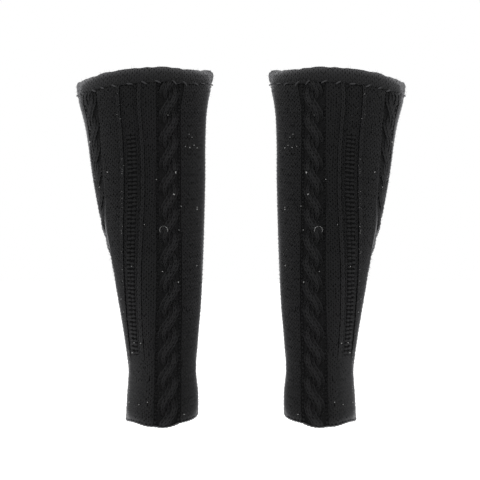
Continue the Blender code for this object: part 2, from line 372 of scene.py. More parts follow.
# %% [markdown]
# ## A wale's path
#
# A wale's path says where its middle lies at each level, how wide it is and how high. Most wales
# run straight down. The six of a cable are two strands of three, which swing to and fro and over
# and under each other, half a turn apart. Their stitches lean along the strand, as real ones do.

# %% Paths
CROSSING = 22.9
LEVEL_OF_A_CROSSING = 172.8
STRAND_WALL = 4.3
STRAND_LIFT = 2.0
STRAND_SWING = 4.6
STRAND_HALF_WIDTH = 5.4
STRAND_ROUNDING = 4.0
STRAND_WALE = 3.4
MOST_FIELD_WALES = 13
LADDER_ROWS = (62, 276)  # the ladder's bars start and end at these levels
ALL_ROWS = (0, 400)

Wale = namedtuple("Wale", "panel anchor offset width wall kind first last", defaults=ALL_ROWS)
Place = namedtuple("Place", "angle width wall lean offset")


def strand(level, turn):
    """How far aside and how high a cable's strand lies, and how it leans."""
    phase = math.pi * (LEVEL_OF_A_CROSSING - level) / CROSSING + turn
    aside = STRAND_SWING * np.sin(phase)
    lean = np.arctan(-STRAND_SWING * math.pi / CROSSING * np.cos(phase))
    return aside, STRAND_WALL + STRAND_LIFT * np.cos(phase), lean


def flattened(index, wall, height):
    """A cable's wall: the outer one lies flatter where the cloth is stretched."""
    share = smooth(OUTER_RELIEF, height)[0] if index % CABLE_COUNT == 0 else 1.0
    return GROOVE_WALL + (wall - GROOVE_WALL) * share


def cable_wall(index, offset, level, height):
    """Wall thickness across a cable: the higher of its two strands, never under the groove."""
    walls = GROOVE_WALL + 0 * (offset + level)
    for turn in (0, math.pi):
        aside, high, _ = strand(level, turn)
        away = (offset - aside) / STRAND_HALF_WIDTH
        wall = flattened(index, high - STRAND_ROUNDING * away**2, height)
        walls = np.maximum(walls, wall)
    return walls


def cable_dip(offset):
    """How far a cable pulls the lower hem down."""
    return HEM_DIP_UNDER_CABLE * (1 - np.minimum(1, (offset / GROOVE) ** 2))


def soft_step(value, none, full):
    """0 on one side and 1 on the other, with a soft change between two values."""
    t = np.clip((value - none) / (full - none), 0, 1)
    return t * t * (3 - 2 * t)


def ladder_wall(wall, level):
    """The ladder's relief, which ends above the ankle."""
    last = LADDER_ROWS[1]
    return FIELD_WALL + (wall - FIELD_WALL) * soft_step(level, last + 12, last - 12)


def field_share(panel, anchor, index, height):
    """Where a field's wale lies between the field's edges, and its share of the width."""
    room = field_width(panel, anchor, height) / STITCH_WIDTH
    weights = [np.ones(np.shape(height))]
    for place in range(1, MOST_FIELD_WALES):
        weights.append(soft_step(room - place - 0.2, 0, 0.5))
    total = sum(weights)
    return (sum(weights[:index]) + weights[index] / 2) / total, weights[index] / total


def wale_place(wale, level):
    """A wale's angle, width, wall and lean at each level."""
    level = np.asarray(level, float)
    none = 0 * level
    height = top_hem(0.0) - level
    for _ in range(2):
        offset, lean, dip = none, none, 0.0
        if wale.kind == "field":
            share, part = field_share(wale.panel, wale.anchor, wale.offset, height)
            first, last = field_edges(wale.panel, wale.anchor, height)
            angle = first + (last - first) * share
            width = np.abs(last - first) * reach(angle, height) * part
            wall = FIELD_WALL + none
        elif wale.kind == "strand":
            aside, wall, lean = strand(level, math.pi * wale.anchor)
            away = wale.offset * STRAND_WALE
            offset = aside + away * np.cos(lean)
            angle = column_angle(wale.panel, "cable", offset, height)
            wall = wall - STRAND_ROUNDING * (away / STRAND_HALF_WIDTH) ** 2
            wall = flattened(wale.panel, wall, height)
            width = wale.width + none
            dip = cable_dip(offset)
        else:
            offset = wale.offset + none
            angle = column_angle(wale.panel, wale.anchor, offset, height)
            edge = column_angle(wale.panel, wale.anchor, offset + wale.width, height)
            width = (edge - angle) * reach(angle, height)
            wall = wale.wall + none
            if wale.anchor == "ladder":
                wall = ladder_wall(wale.wall, level)
        height = row_height(angle, level, dip)
    return Place(angle, width, wall, lean, offset)


strands, plain, ridges, purls = [], [], [], []
for panel in range(CABLE_COUNT):
    strands += [Wale(panel, turn, aside, STRAND_WALE, None, "strand")
                for turn in (0, 1) for aside in (-1, 0, 1)]
    for anchor, side in (("cable", 1), ("next cable", -1)):
        purls.append(Wale(panel, anchor, side * GROOVE, GROOVE_WIDTH, GROOVE_WALL, "purl"))
        if panel in PANELS_WITH_LADDER:
            ridges.append(Wale(panel, "ladder", -side * RIDGE, RIDGE_WIDTH, RIDGE_WALL, "ridge"))
            ridges.append(
                Wale(panel, "ladder", -side * TROUGH, TROUGH_WIDTH, LADDER_WALL + 0.2, "trough"))
            bars = Wale(panel, "ladder", -side * BARS, BAR_WIDTH, LADDER_WALL + 1.0, "purl", *LADDER_ROWS)
            purls.append(bars)
            for first, last in ((0, LADDER_ROWS[0]), (LADDER_ROWS[1], ALL_ROWS[1])):
                ridges.append(
                    bars._replace(kind="trough", wall=LADDER_WALL + 0.3, first=first, last=last))
        most = float(field_width(panel, anchor, np.array([-15.0]))[0]) / STITCH_WIDTH
        for index in range(max(1, math.ceil(most - 0.5))):
            plain.append(Wale(panel, anchor, index, None, FIELD_WALL, "field"))
print("wales:", len(strands), "in cables,", len(plain), "in fields,", len(ridges), "in ridges,",
      len(purls), "of purl, each", ROWS, "rows long")

# %% [markdown]
# ## The cloth behind the stitches
#
# Behind the visible yarn lie the loops' hidden halves, made as one thin closed skin with the
# pattern's relief. A flat grid is rolled up both ways: round the leg, and round the cut of the wall.
# That keeps its columns on the cables and ridges, which a boolean or a remesh would lose.

# %% The rolled grid
CLOTH_SINK = 1.15
CLOTH_RINGS = 92
UNDER_WELT = 3.0
INSIDE_RINGS = 32
HEM_WALL_SHARE = 0.6
HEM_ROUNDING = 1.2
CABLE_CLOTH = (0, 1.7, 3.4, 5.1, 6.8, 8.4, 9.7)  # columns beside a cable's middle
FIELD_CLOTH = 12.4
LADDER_CLOTH = ((11.4, FIELD_WALL), (9.7, RIDGE_WALL), (8.1, LADDER_WALL), (5.0, LADDER_WALL),
                (2.2, LADDER_WALL + 0.4))
Column = namedtuple("Column", "panel anchor offset wall")


def cloth_columns():
    """Columns of points round the tube, from each cable's middle to the next one's."""
    columns = []
    for panel in range(CABLE_COUNT):
        half = [Column(panel, "cable", offset, None) for offset in CABLE_CLOTH]
        half.append(Column(panel, "cable", GROOVE, GROOVE_WALL))
        half.append(Column(panel, "cable", FIELD_CLOTH, FIELD_WALL))
        shares, ladder, wall = (0.8, 0.6, 0.4, 0.2), LADDER_CLOTH, LADDER_WALL
        if panel not in PANELS_WITH_LADDER:
            shares, ladder, wall = (0.9, 0.8, 0.7, 0.6, 0.5, 0.4, 0.3, 0.2, 0.1), (), FIELD_WALL
        half += [Column(panel, "field", share, FIELD_WALL) for share in shares]
        half += [Column(panel, "ladder", -offset, relief) for offset, relief in ladder]
        columns += half + [Column(panel, "ladder", 0.0, wall)]
        for column in reversed(half[1:]):
            if column.anchor == "field":
                columns.append(column._replace(anchor="next field"))
            else:
                anchor = column.anchor.replace("cable", "next cable")
                columns.append(column._replace(anchor=anchor, offset=-column.offset))
    return columns


def cloth_angle(column, height):
    if "field" in column.anchor:
        first, last = field_edges(column.panel, column.anchor.replace("field", "cable"), height)
        return first + (last - first) * column.offset
    return column_angle(column.panel, column.anchor, column.offset, height)


def cloth_points(columns):
    """Points down the outer wall, under the hem and up the inside, for each column."""
    start = TUBE_START - UNDER_WELT
    levels = np.concatenate([
        np.linspace(start, LENGTH, CLOTH_RINGS), [LENGTH], np.linspace(LENGTH, start, INSIDE_RINGS)])
    ring = np.arange(len(levels))
    share = np.where(ring < CLOTH_RINGS, 1, np.where(ring == CLOTH_RINGS, HEM_WALL_SHARE, 0))
    lift = np.where(ring == CLOTH_RINGS - 1, HEM_ROUNDING, 0)
    points = []
    for column in columns:
        angle = cloth_angle(column, top_hem(0.0) - levels)
        dip = cable_dip(column.offset) if column.wall is None else 0.0
        height = row_height(angle, levels, dip)
        angle = cloth_angle(column, height)
        wall = column.wall
        if wall is None:
            index = column.panel + (column.anchor == "next cable")
            wall = cable_wall(index, column.offset, levels, height)
        elif column.anchor == "ladder":
            wall = ladder_wall(wall, levels)
        points.append(wall_point(angle, height + lift, (wall - CLOTH_SINK) * share))
    return np.array(points)


def rolled(name, points):
    """A grid whose columns go round the leg and whose rings go round the cut of the cloth."""
    round_leg, round_cut = points.shape[:2]
    grid = bmesh.new()
    grid.loops.layers.uv.new("Yarn")
    bmesh.ops.create_grid(grid, x_segments=round_leg, y_segments=round_cut, size=0.5, calc_uvs=True)
    for vertex in grid.verts:
        column = round((vertex.co.x + 0.5) * round_leg) % round_leg
        ring = round((vertex.co.y + 0.5) * round_cut) % round_cut
        vertex.co = points[column, ring]
    bmesh.ops.remove_doubles(grid, verts=grid.verts[:], dist=0.00001)
    bmesh.ops.recalc_face_normals(grid, faces=grid.faces[:])
    mesh = as_mesh(grid, name)
    mesh.shade_smooth()
    return added(name, mesh)


columns = cloth_columns()
cloth = rolled("left_knit_cloth", cloth_points(columns))
print("the cloth has", len(columns), "columns and", len(cloth.data.polygons), "faces")

# %% [markdown]
# ## One stitch
#
# On the right side a stitch looks like a V: two plump legs of yarn that start together and lean
# apart, each tucked behind the stitch above. On the wrong side it is a short bar. Thousands are
# needed, so a leg or a bar is a drawn-out ball of only thirty triangles, with its poles at its ends,
# where the next stitch hides them.

# %% Stitch shapes
YARN_SIDES = 5
YARN_RINGS = 4


def yarn_ball(sides=YARN_SIDES, rings=YARN_RINGS):
    """A small ball, one unit across, with its poles on Y and a map of its skin."""
    ball = bmesh.new()
    ball.loops.layers.uv.new("Yarn")
    bmesh.ops.create_uvsphere(ball, u_segments=sides, v_segments=rings, radius=0.5, calc_uvs=True)
    lying = Matrix.Rotation(math.pi / 2, 3, "X")
    bmesh.ops.rotate(ball, verts=ball.verts[:], cent=(0, 0, 0), matrix=lying)
    return ball


def knit_leg(side):
    """One leg of a V. Across is in stitch widths, down in rows and out in millimetres."""
    leg = yarn_ball()
    for vertex in leg.verts:
        along = -vertex.co.y
        vertex.co.x = vertex.co.x * 0.52 * (1 - 0.18 * along) + side * (0.25 - 0.32 * along)
        vertex.co.z = vertex.co.z * 1.75 + 0.55 * (1 - 4 * along**2) - 0.25
        vertex.co.y = along * 1.45
    return leg


def purl_bar():
    """One bar of the wrong side: a short arch of yarn across the wale."""
    bar = yarn_ball()
    for vertex in bar.verts:
        along = vertex.co.y
        vertex.co.y = vertex.co.x * 0.70 + 0.5 * along**2 - 0.06
        vertex.co.z = vertex.co.z * 1.5 + 0.35 * (1 - 4 * along**2)
        vertex.co.x = along * 1.12
    return bar


def joined(name, shapes):
    """Small shapes put together in one mesh, facing outwards."""
    together = bmesh.new()
    together.loops.layers.uv.new("Yarn")
    for shape in shapes:
        part = as_mesh(shape, name)
        together.from_mesh(part)
        bpy.data.meshes.remove(part)
    bmesh.ops.recalc_face_normals(together, faces=together.faces[:])
    mesh = as_mesh(together, name)
    mesh.shade_smooth()
    return mesh


knit_stitch = joined("knit_stitch", [knit_leg(-1), knit_leg(1)])
purl_stitch = joined("purl_stitch", [purl_bar()])
for mesh in (knit_stitch, purl_stitch):
    mesh.calc_loop_triangles()
    print(mesh.name, "has", len(mesh.loop_triangles), "triangles")

# %% [markdown]
# ## Knitting the wales
#
# Instances would turn each stitch stiffly to its place and leave cracks on a bend. Here an Array
# modifier makes all stitches as one mesh, and then every point goes through its wale's path, so the
# yarn bends with the leg. Each stitch is a little uneven, as hand-washed knitting is.

# %% Knit
UNEVEN = 0.07
LEAST_WIDTH = 1.5
LEAST_DEPTH = 0.5
TOP_SHEEN_TILT = (30.0, 2.5, 1)  # how wide the band is where the painted sheen's direction turns over the hem, how steeply, and which way
BOTTOM_SHEEN_TILT = (12.0, 0.9, -1)
SHEEN_PATCHES = (  # angle, level, half width, half length, and how much stronger the painted sheen is there, weaker below zero
    (-36, 305, 26, 62, 1.0), (-27, 225, 13, 50, 0.5), (-74, 150, 13, 20, -0.7), (-66, 40, 12, 16, 0.5),
    (118, 296, 30, 40, 0.7), (176, 120, 34, 60, 0.5), (226, 300, 30, 44, 0.8), (100, 210, 20, 34, 0.4),
)


def copies(name, shape, count):
    """A piece of so many copies of a small mesh, and the points of one copy."""
    piece = added(name, shape)
    array = piece.modifiers.new("Copies", "ARRAY")
    array.count = count
    array.use_relative_offset = False
    array.use_constant_offset = True
    array.constant_offset_displace = (1, 0, 0)
    seen = piece.evaluated_get(bpy.context.evaluated_depsgraph_get())
    piece.data = bpy.data.meshes.new_from_object(seen)
    piece.modifiers.clear()
    piece.data.name = name
    return piece, np.array([vertex.co for vertex in shape.vertices])


def tilted_for_hem_sheen(above, angle):
    """Points above the cloth, shifted over the hems, so that the painted sheen grows towards each hem."""
    height = above[..., 2] / MM
    for distance, (band, steepest, way) in (
            (top_hem(angle) - height, TOP_SHEEN_TILT), (height - bottom_hem(angle), BOTTOM_SHEEN_TILT)):
        near = np.clip(distance / band, 0.004, 1)
        above[..., 2] += way * MM * np.minimum(steepest, (1 - near) / np.sqrt(2 * near - near**2))
    return above


def unit(vectors):
    return vectors / np.linalg.norm(vectors, axis=1, keepdims=True)


def placed(piece, points, above, crest_shading=0.5, kept=None, sheen_patch=0.0):
    """The points set on the piece's mesh, and the copies that aren't kept taken out.

    The first attribute keeps the way out of the cloth, to the points above, and steers the painted
    sheen. The second is 0 in the pattern's hollows and 1 on its heights, for painted shade in the
    hollows and painted highlight on the heights. The third makes the painted sheen stronger in
    patches, or weaker below zero.
    """
    mesh = piece.data
    mesh.vertices.foreach_set("co", points.reshape(-1).astype(np.float32))
    away = unit((above - points).reshape(-1, 3)).reshape(-1).astype(np.float32)
    mesh.attributes.new("Away", "FLOAT_VECTOR", "POINT").data.foreach_set("vector", away)
    for name, values in (("Crest", crest_shading), ("Rubbed", sheen_patch)):
        values = np.broadcast_to(values, points.shape[:-1]).reshape(-1)
        mesh.attributes.new(name, "FLOAT", "POINT").data.foreach_set("value", values.astype(np.float32))
    if kept is not None and not kept.all():
        spare = np.repeat(~kept, len(mesh.vertices) // len(kept))
        cut = bmesh.new()
        cut.from_mesh(mesh)
        cut.verts.ensure_lookup_table()
        bmesh.ops.delete(cut, geom=[cut.verts[int(i)] for i in np.flatnonzero(spare)], context="VERTS")
        cut.to_mesh(mesh)
        cut.free()
    mesh.update()
    return piece


def set_on_leg(piece, angle, height, out):
    """A piece's points at these angles, heights and distances out of the leg."""
    above = tilted_for_hem_sheen(wall_point(angle, height, out + 1), angle)
    return placed(piece, wall_point(angle, height, out), above)


def knit(name, shape, wales, seed, plump):
    """All the stitches of these wales, on the leg. Plump says how far they stand out."""
    piece, stitch = copies(name, shape, len(wales) * ROWS)
    chance = np.random.default_rng(seed)
    points, above, crest_shading, kept, sheen_patch = [], [], [], [], []
    for wale in wales:
        uneven = chance.normal(0, UNEVEN, (ROWS, 1, 4))
        across = stitch[:, 0] * (1 + uneven[..., 0]) + uneven[..., 1] * 0.5
        rows = TUBE_START + (np.arange(ROWS)[:, None] + 0.3) * ROW
        level = rows + (stitch[:, 1] + uneven[..., 2]) * ROW
        level = np.clip(level, TUBE_START - 2.5, LENGTH - 0.4)
        out = stitch[:, 2] * plump * (1 + uneven[..., 3]) - 0.05 - 0.5 * plump
        place = wale_place(wale, level)
        row = rows[:, 0]
        kept.append((wale_place(wale, row).width > LEAST_WIDTH) & (row > wale.first) & (row < wale.last))
        aside = across * place.width
        level = level - aside * np.sin(place.lean)
        angle = place.angle + aside * np.cos(place.lean) / reach(place.angle, top_hem(0.0) - level)
        dip = cable_dip(place.offset) if wale.kind == "strand" else 0.0
        height = row_height(angle, level, dip)
        points.append(wall_point(angle, height, np.maximum(place.wall + out, LEAST_DEPTH)))
        above.append(tilted_for_hem_sheen(wall_point(angle, height, place.wall + out + 1), angle))
        # Painted shade and highlight: yarn low in the pattern's hollows is coloured darker, yarn high on
        # its heights paler.
        crest_shading.append(np.clip((place.wall + out - GROOVE_WALL + 0.9) / 4.2, 0, 1))
        # Patches from the table where the painted sheen is stronger, and one below zero where it is weaker,
        # a painted shade.
        sheen_patch.append(sum(
            much * np.exp(-((turned(angle, middle) / wide) ** 2) - ((level - down) / long) ** 2)
            for middle, down, wide, long, much in SHEEN_PATCHES))
    return placed(piece, np.array(points), np.array(above), np.array(crest_shading),
                  np.concatenate(kept), np.array(sheen_patch))


cables = knit("left_cable_stitches", knit_stitch, strands, 11, 0.9)
fields = knit("left_plain_stitches", knit_stitch, plain, 12, 0.6)
ridge_yarn = knit("left_ridge_stitches", knit_stitch, ridges, 14, 0.8)
ladders = knit("left_purl_stitches", purl_stitch, purls, 13, 1.0)
for piece in (cables, fields, ridge_yarn, ladders):
    print(piece.name, "has", len(piece.data.polygons), "faces")

# %% [markdown]
# ## The welt
#
# The top of each tube is plain knitting turned over on itself: up the outside, over the crown and
# down the inside. It is proud of the tube and gathered in soft upright creases. The same two steps
# make it, a rolled grid for the cloth and the knit stitch for the yarn, on a path of its own.

# %% Welt
WELT_PATH = (  # millimetres along the cut from the outer foot, distance out, share of the height
    (0, 4.3, 0), (2.9, 5.8, 0.2), (7.8, 6.3, 0.55), (12.8, 5.9, 0.9), (14.9, 4.2, 1),
    (17.5, 1.6, 0.98), (19.6, 0.4, 0.86), (31.8, 0, 0),
)
WELT_CREASES = (  # angle, half width, depth
    (-67, 7, 0.9), (-41, 6, 1.1), (-24, 6, 0.8), (0, 5, 0.7), (11, 5, 1.0), (27, 6, 0.7),
    (38, 5, 1.1), (60, 6, 1.2), (84, 7, 0.8), (117, 6, 1.1), (143, 7, 0.8), (171, 5, 1.0),
    (203, 7, 1.2), (236, 6, 0.9), (262, 6, 1.1),
)
CROWN_SHARE = 0.6
WELT_LENGTH = WELT_PATH[-1][0]
WELT_WALES = 92
WELT_ROW = 3.9
WELT_CLOTH = 1.8
WELT_SINK = 0.65


def welt_point(angle, along, out):
    """Points so far along the welt's cut from its outer foot, and so far out of its skin."""
    step = 0.2
    here, ahead = smooth(WELT_PATH, along), smooth(WELT_PATH, along + step)
    tall = welt_height(angle)
    run_out, run_up = (ahead - here)[0], (ahead - here)[1] * tall
    size = np.hypot(run_out, run_up)
    crease = soft_dip(WELT_CREASES, angle)
    outside = np.clip((19.0 - along) / 6.0, 0, 1)
    crown = np.exp(-(((along - 15.5) / 4.0) ** 2))
    height = top_hem(angle) - tall * (1 - here[1]) - crease * CROWN_SHARE * crown
    return wall_point(angle, height - out * run_out / size,
                      here[0] - crease * outside + out * run_up / size)


steps = np.linspace(0, TURN, 2 * WELT_WALES, endpoint=False)[:, None]
over = np.linspace(0.3, WELT_LENGTH - 0.3, 20)[None, :]
back = np.linspace(WELT_LENGTH - 0.6, 0.6, 12)[None, :]
welt_cloth = rolled("left_welt_cloth", np.concatenate(
    [welt_point(steps, over, -WELT_SINK), welt_point(steps, back, -WELT_SINK - WELT_CLOTH)], axis=1))

welt_rows = round(WELT_LENGTH / WELT_ROW)
welt_yarn, stitch = copies("left_welt_stitches", knit_stitch, WELT_WALES * welt_rows)
uneven = np.random.default_rng(21).normal(0, UNEVEN, (WELT_WALES, welt_rows, 1, 3))
wale = np.arange(WELT_WALES)[:, None, None]
row = np.arange(welt_rows)[None, :, None]
around = (wale + stitch[:, 0] * (1 + uneven[..., 0])) * TURN / WELT_WALES
along = WELT_LENGTH * (row + 0.5 - stitch[:, 1] * 0.95 + uneven[..., 1]) / welt_rows
along = np.clip(along, 0.3, WELT_LENGTH - 0.3)
out = stitch[:, 2] * 0.42 * (1 + uneven[..., 2]) - 0.52
points = welt_point(around, along, out)
height = points[..., 2] / MM
straight_out = wall_point(around, height, 1.0) - wall_point(around, height, 0.0)
placed(welt_yarn, points, tilted_for_hem_sheen(points + straight_out, around))
print("the welt has", WELT_WALES, "wales of", welt_rows, "rows")

# %% [markdown]
# ## Overcast stitches and the cast-off edge
#
# The welt is caught down by hand: every centimetre or so a strand of yarn comes out of the tube,
# goes over the welt's foot and in again, and catches the light, which its paler colour paints in as
# a painted highlight. The lower hem ends in a chain of cast-off stitches along the edge, coloured
# paler as a painted highlight too. Both are drawn-out balls of yarn again.

# %% Sewing and cast-off
OVERCAST_EVERY = 13.4
OVERCAST_LONG = 6.4
OVERCAST_THICK = 1.7
CAST_OFF_COUNT = 60
WELT_RADIUS = 62
FOOT_RADIUS = 65

overcast_count = round(TURN * WELT_RADIUS / OVERCAST_EVERY)
overcast_stitch = joined("overcast_stitch", [yarn_ball(8, 10)])
overcast, stitch = copies("left_overcast_stitches", overcast_stitch, overcast_count)
uneven = np.random.default_rng(31).normal(0, 1, (overcast_count, 1, 3))
middle = (np.arange(overcast_count)[:, None] + 0.35) * TURN / overcast_count
middle = middle + uneven[..., 0] * 0.02
slant = 0.35 + 0.35 * uneven[..., 2]
long = stitch[:, 1] * OVERCAST_LONG * (1 + 0.15 * uneven[..., 1])
aside = long * np.cos(slant) - stitch[:, 0] * OVERCAST_THICK * np.sin(slant)
up = 0.6 - long * np.sin(slant) - stitch[:, 0] * OVERCAST_THICK * np.cos(slant)
angle = middle + aside / FOOT_RADIUS
foot = top_hem(angle) - welt_height(angle)
arch = 1 - (2 * long / OVERCAST_LONG) ** 2
out = 4.2 + 1.5 * arch + stitch[:, 2] * OVERCAST_THICK
set_on_leg(overcast, angle, foot + up, out)

cast_off, stitch = copies("left_cast_off", knit_stitch, CAST_OFF_COUNT)
middle = np.arange(CAST_OFF_COUNT)[:, None] * TURN / CAST_OFF_COUNT
angle = middle + stitch[:, 1] * TURN / CAST_OFF_COUNT
nearest = np.min([np.abs(turned(angle, np.degrees(cable_angle(i, -335.0)))) for i in range(4)], 0)
dip = HEM_DIP_UNDER_CABLE * np.clip(1 - (nearest / 20) ** 2, 0, 1)
out = 1.9 + dip * 0.4 + stitch[:, 0] * 3.4
height = bottom_hem(angle) - dip + 0.9 - stitch[:, 2] * 0.8
set_on_leg(cast_off, angle, height, out)
print(overcast_count, "overcast stitches and", CAST_OFF_COUNT, "cast-off stitches")

# %% [markdown]
# ## Stray fibres
#
# Wool's stray fibres make the soft pale edge that black knitwear has against white. A hair system
# would vanish from the exported model, so they are thin three-sided spikes in one mesh, set at
# random and leaning every way.

# %% Fuzz
FIBRES = 7000
spike = bmesh.new()
spike.loops.layers.uv.new("Yarn")
bmesh.ops.create_cone(spike, segments=3, radius1=0.5, radius2=0.0, depth=1.0, cap_ends=True)
bmesh.ops.remove_doubles(spike, verts=spike.verts[:], dist=0.0001)
bmesh.ops.translate(spike, verts=spike.verts[:], vec=(0, 0, 0.5))
fibre_shape = joined("fibre", [spike])


def any_way(chance, along, spread):
    """Three directions square to each other, the first one more or less along."""
    stand = unit(unit(along) + chance.normal(0, spread, along.shape))
    side = unit(np.cross(stand, chance.normal(0, 1, along.shape)))
    return stand, side, np.cross(stand, side)


def fuzz(name, count, seed, spot):
    """Thin fibres that stand out of the yarn, rooted at the spots that spot gives."""
    piece, fibre = copies(name, fibre_shape, count)
    chance = np.random.default_rng(seed)
    angle = chance.uniform(0, TURN, count)
    share = chance.uniform(0, 1, count)
    root, tip = spot(angle, share, 0.0), spot(angle, share, 5.0)
    stand, side, other = any_way(chance, tip - root, 0.75)
    long = chance.uniform(1.6, 4.2, (count, 1, 1)) * MM
    thick = chance.uniform(0.10, 0.17, (count, 1, 1)) * MM
    points = (root[:, None] + fibre[:, 2:] * stand[:, None] * long
              + (fibre[:, 0:1] * side[:, None] + fibre[:, 1:2] * other[:, None]) * thick)
    return placed(piece, points, points + stand[:, None] * MM)


def tube_spot(angle, share, out):
    level = TUBE_START + share * (LENGTH - TUBE_START - 1)
    height = row_height(angle, level)
    wall = FIELD_WALL + 0 * level
    for index in range(CABLE_COUNT):
        beside = turned(angle, np.degrees(cable_angle(index, height))) * np.radians(1)
        offset = beside * reach(angle, height)
        cable = cable_wall(index, offset, level, height)
        wall = np.where(np.abs(offset) < GROOVE, cable, wall)
    return wall_point(angle, height, wall - 0.4 + out)


def welt_spot(angle, share, out):
    return welt_point(angle, 0.5 + share * 19, -0.3 + out)


tube_fuzz = fuzz("left_fuzz", FIBRES, 41, tube_spot)
welt_fuzz = fuzz("left_welt_fuzz", FIBRES // 10, 42, welt_spot)
print(FIBRES + FIBRES // 10, "stray fibres a leg warmer")

# %% [markdown]
# ## Lint
#
# Black knitwear shows every speck. The bright ones are placed from a table, with a curl of
# pale thread beside the front cable, and finer pills follow the ridge that has rubbed.

# %% Specks, a curl and pills
SPECKS = (  # angle, level, size
    (30, 100.6, 1.7), (-64, 62.6, 1.8), (-61, 62, 1.0), (27, 121.8, 1.4), (-28, 262.6, 1.4),
    (30, 206, 1.1), (36, 133, 1.1), (-48, 273, 1.4), (-40, 95.5, 1.1), (-57, 233, 1.0),
    (-41, 263, 1.1), (-58, 220, 1.0), (-28, 188, 0.9), (60, 192, 1.2), (60, 137, 1.1),
    (60, 135, 0.9), (11, 107, 0.8), (-59, 108, 1.1), (49, 76, 1.0), (55, 74, 0.9), (60, 77, 1.0),
    (43, 75, 0.8), (52, 66, 0.8), (48, 63, 0.7), (39, 333, 1.0), (25, 46, 0.8), (-34, 322, 1.0),
    (-62, 38, 1.1), (-59, 322, 1.1), (-5, 148.6, 0.8), (25, 242, 0.8), (10, 194.6, 0.8),
    (-19, 318, 0.9), (33, 156, 0.9), (115, 80, 1.2), (142, 150, 1.0), (171, 60, 1.3),
    (200, 121, 1.1), (228, 210, 1.2), (246, 92, 1.0), (180, 262, 1.1), (128, 300, 1.0),
)
CURL = (14.5, 155.5, 3.6)  # angle and level of its middle, radius
RIDGE_PILLS = 90
speck_shape = joined("speck", [yarn_ball()])


def specks(name, angle, level, size, seed):
    """Small balls of lint on the tube, turned and drawn out at random."""
    piece, ball = copies(name, speck_shape, len(angle))
    chance = np.random.default_rng(seed)
    share = (level - TUBE_START) / (LENGTH - TUBE_START - 1)
    root, tip = tube_spot(angle, share, 1.4), tube_spot(angle, share, 4.0)
    stand, side, other = any_way(chance, tip - root, 1.0)
    size = size[:, None, None] * MM
    points = root[:, None] + size * (
        ball[:, 0:1] * stand[:, None]
        + ball[:, 1:2] * side[:, None] * chance.uniform(1.0, 1.6, (len(angle), 1, 1))
        + ball[:, 2:3] * other[:, None])
    return placed(piece, points, points + (tip - root)[:, None])


turn = np.linspace(-0.1, 1.1, 13) * math.pi
curl_angle = np.radians(CURL[0]) - CURL[2] * np.cos(turn) / 55
curl_level = CURL[1] - CURL[2] * np.sin(turn)
chance = np.random.default_rng(51)
pill_level = chance.uniform(TUBE_START, LENGTH, RIDGE_PILLS)
pill_angle = column_angle(0, "ladder", -RIDGE, top_hem(0.0) - pill_level)
pill_angle = pill_angle + chance.normal(0, 0.012, RIDGE_PILLS)
by_hand = np.array(SPECKS)
lint = specks(
    "left_lint",
    np.concatenate([np.radians(by_hand[:, 0]), curl_angle, pill_angle]),
    np.concatenate([by_hand[:, 1], curl_level, pill_level]),
    np.concatenate([by_hand[:, 2], 0.75 + 0 * turn, chance.uniform(0.3, 0.75, RIDGE_PILLS)]), 52)
print(len(SPECKS), "specks by hand and", RIDGE_PILLS, "pills on the front ridge")

# %% [markdown]
# ## Black yarn
#
# Black wool is never quite black: its fibres scatter a little light at a grazing angle, and here
# that is painted into the colour as a pale painted sheen which grows towards grazing views. Dye
# takes unevenly. Textures in the object's own coordinates stay put when the piece turns, and give
# rubbed patches, mottling and fine hair. Stitches are also painted darker in the pattern's hollows
# and paler on its heights, a painted shade and highlight. The twist of the plies follows each
# strand's own map.

# %% Shader helpers
def add_node(tree, kind, settings=None, values=None, output=0):
    """A node with its settings made first, then values or links on its sockets, and one output."""
    node = tree.nodes.new(kind)
    for name, setting in (settings or {}).items():
        setattr(node, name, setting)
    for name, value in (values or {}).items():
        if isinstance(value, Term):
            tree.links.new(value.socket, node.inputs[name])
        else:
            node.inputs[name].default_value = value
    return Term(node.outputs[output])


class Term:
    """A socket that sums and products can be written with."""

    def __init__(self, socket):
        self.socket = socket

    def maths(self, operation, other, reflected=False):
        first, second = (other, self) if reflected else (self, other)
        tree = self.socket.node.id_data
        return add_node(tree, "ShaderNodeMath", {"operation": operation}, {0: first, 1: second})

    def __add__(self, other):
        return self.maths("ADD", other)

    def __sub__(self, other):
        return self.maths("SUBTRACT", other)

    def __mul__(self, other):
        return self.maths("MULTIPLY", other)

    def __pow__(self, other):
        return self.maths("POWER", other)

    def __rsub__(self, other):
        return self.maths("SUBTRACT", other, reflected=True)

    __radd__ = __add__
    __rmul__ = __mul__


def noise(tree, place, scale, detail, rough=0.5):
    return add_node(tree, "ShaderNodeTexNoise", {"noise_dimensions": "3D"},
                    {"Vector": place, "Scale": scale, "Detail": detail, "Roughness": rough})


# %% Yarn materials
# A pale colour painted over the yarn towards grazing views, a painted sheen: how fast it grows, its most,
# and how much more of it the listed patches get.
SHEEN_PAINT_COLOUR = (0.35, 0.35, 0.36)
WALES_INSIDE = 88
SHEEN_SPREAD = -1.8
MOST_PAINTED_SHEEN = 0.45
PATCH_SHEEN_BOOST = 1.1


